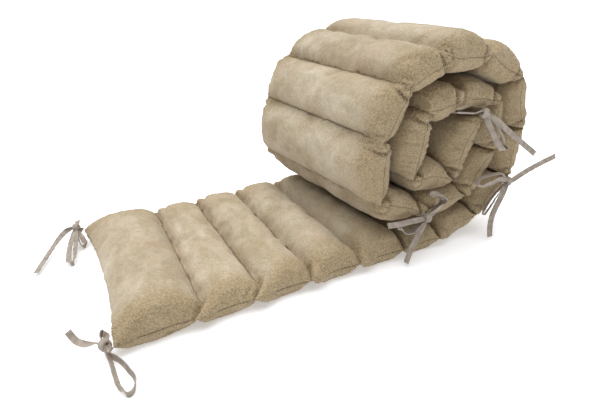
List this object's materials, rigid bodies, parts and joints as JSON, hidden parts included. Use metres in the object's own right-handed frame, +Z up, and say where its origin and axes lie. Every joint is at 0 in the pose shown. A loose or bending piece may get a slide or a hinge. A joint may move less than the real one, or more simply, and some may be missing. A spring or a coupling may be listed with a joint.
{
  "type": "crib bumper, partly rolled up",
  "caption": "Long channelled plush cot bumper, one end lying flat and the other rolled up, with tape bows at its edges for tying it to the bars",
  "frame": {"origin": "on the surface it lies on, under the middle of the padded strip's box", "axes": "+X along the flat end towards the roll, +Y across the strip from the edge nearer the viewer to the far one, +Z up"},
  "size_m": [0.762, 0.4009, 0.3144],
  "materials": {
    "plush": "matt short-pile velour plush in a warm beige, with a soft mottled nap",
    "tape": "matt flat-woven cotton tape in grey beige"
  },
  "bodies": {
    "root": {"bumper_body": "plush", "tie_1_near": "tape", "tie_1_far": "tape", "tie_2_near": "tape", "tie_2_far": "tape", "tie_3_near": "tape", "tie_3_far": "tape", "tie_4_near": "tape", "tie_4_far": "tape"}
  },
  "joints": []
}
